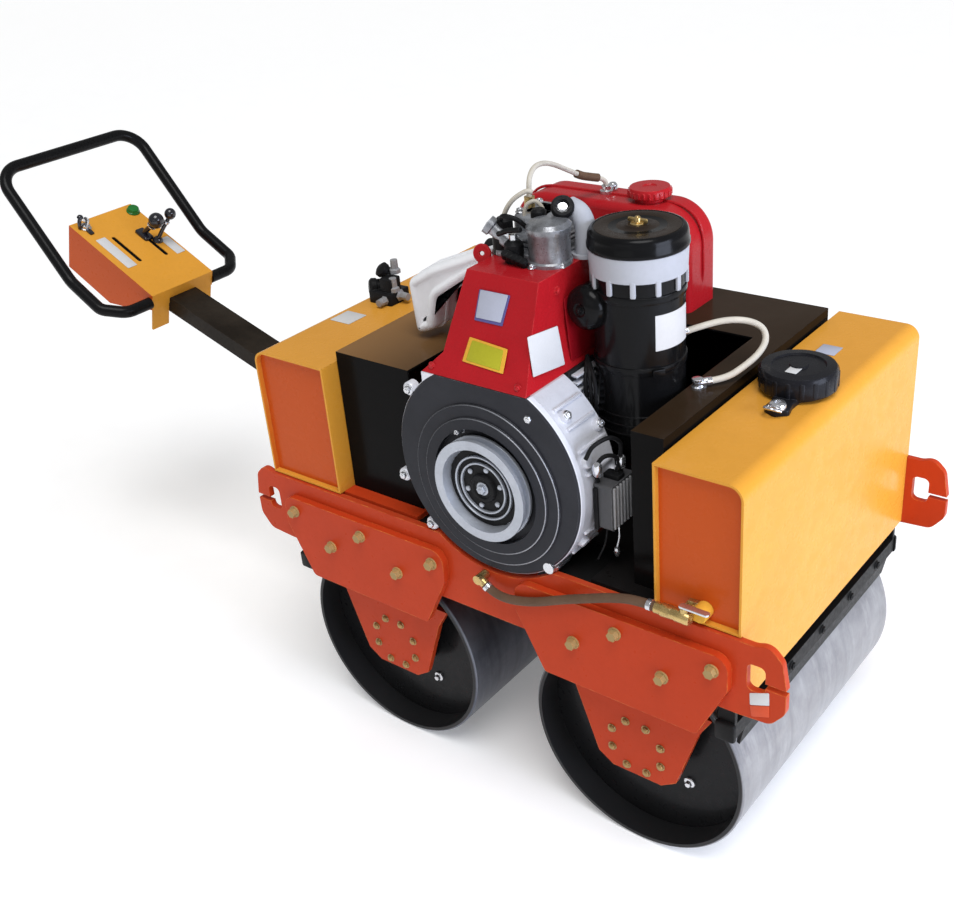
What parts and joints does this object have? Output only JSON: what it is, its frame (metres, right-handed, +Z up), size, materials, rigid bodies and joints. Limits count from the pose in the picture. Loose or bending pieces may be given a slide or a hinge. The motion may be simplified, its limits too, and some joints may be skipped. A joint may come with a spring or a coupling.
{
  "type": "walk-behind roller",
  "caption": "Walk-behind roller with tandem steel drums, a side-mounted engine, a water tank in front and a hinged drawbar with console and handle.",
  "frame": {"origin": "on the ground, under the middle of the machine's length, on its centre plane", "axes": "+X forward, away from the handle; +Y to the roller's left; +Z up"},
  "size_m": [2.109, 0.73, 1.1711],
  "materials": {
    "frame_paint": "gloss paint, chipped at the edges",
    "bracket_paint": "gloss paint with plated bolts",
    "tank_paint": "gloss paint",
    "drum_steel": "rolled steel, mottled",
    "drum_black": "black paint inside the drum's rim",
    "bearing_steel": "dark painted casting",
    "scraper_black": "black paint",
    "hood_black": "gloss black paint",
    "engine_cast": "cast aluminium",
    "engine_dark": "dark casting",
    "fan_grey": "satin grey paint",
    "pulley_steel": "turned steel",
    "engine_red": "gloss red paint",
    "muffler_silver": "satin heat-proof paint",
    "filter_black": "gloss black",
    "filter_white": "white plastic",
    "cap_black": "black plastic",
    "brass": "plated brass",
    "hose_olive": "olive grey rubber",
    "hose_cream": "cream rubber",
    "box_grey": "grey paint",
    "handle_black": "black powder coat",
    "bar_black": "black paint",
    "console_paint": "gloss paint",
    "lever_black": "black plastic knobs",
    "button_green": "green plastic",
    "switch_chrome": "plated"
  },
  "bodies": {
    "root": {"air_filter": "filter_black", "apron_front": "tank_paint", "apron_rear": "tank_paint", "beam_left": "frame_paint", "beam_right": "frame_paint", "bearing_housings_front": "bearing_steel", "bearing_housings_rear": "bearing_steel", "bracket_front_left": "bracket_paint", "bracket_front_right": "bracket_paint", "bracket_rear_left": "bracket_paint", "bracket_rear_right": "bracket_paint", "breather_fittings": "switch_chrome", "breather_hose": "hose_cream", "control_box": "box_grey", "cross_member": "frame_paint", "cylinder_head": "engine_cast", "deck": "frame_paint", "drawbar_bracket": "frame_paint", "engine_block": "engine_dark", "fan_cover": "fan_grey", "fan_housing": "engine_cast", "filter_bracket": "filter_black", "filter_cap": "filter_black", "filter_ring": "filter_white", "fuel_cap": "engine_red", "fuel_fittings": "brass", "fuel_pipe": "hose_cream", "fuel_tank": "engine_red", "hood": "hood_black", "hub_plate_front_left": "bracket_paint", "hub_plate_front_right": "bracket_paint", "hub_plate_rear_left": "bracket_paint", "hub_plate_rear_right": "bracket_paint", "intake_elbow": "engine_cast", "muffler": "muffler_silver", "rear_box": "tank_paint", "rear_valve": "engine_dark", "scraper_front": "scraper_black", "scraper_rear": "scraper_black", "shroud": "engine_red", "tank_cap": "cap_black", "water_fittings": "brass", "water_hose": "hose_olive", "water_tank": "tank_paint"},
    "front_drum": {"drum_front": "drum_steel", "drum_core_front": "drum_black"},
    "rear_drum": {"drum_rear": "drum_steel", "drum_core_rear": "drum_black"},
    "handle_arm": {"drawbar": "bar_black", "handle": "handle_black", "console": "console_paint", "levers": "lever_black", "start_button": "button_green", "key_switch": "switch_chrome"},
    "pulley": {"starter_pulley": "pulley_steel"}
  },
  "joints": [
    {"name": "front_drum_roll", "type": "hinge", "parent": "root", "child": "front_drum", "pos_m": [0.7585, 0, 0.213], "axis": [0, 1, 0], "continuous": true},
    {"name": "rear_drum_roll", "type": "hinge", "parent": "root", "child": "rear_drum", "pos_m": [0.1865, 0, 0.213], "axis": [0, 1, 0], "continuous": true},
    {"name": "handle_lift", "type": "hinge", "parent": "root", "child": "handle_arm", "pos_m": [-0.1025, 0, 0.501], "axis": [0, 1, 0], "range_deg": [0, 65]},
    {"name": "pulley_spin", "type": "hinge", "parent": "root", "child": "pulley", "pos_m": [0.5025, 0, 0.695], "axis": [0, 1, 0], "continuous": true}
  ]
}
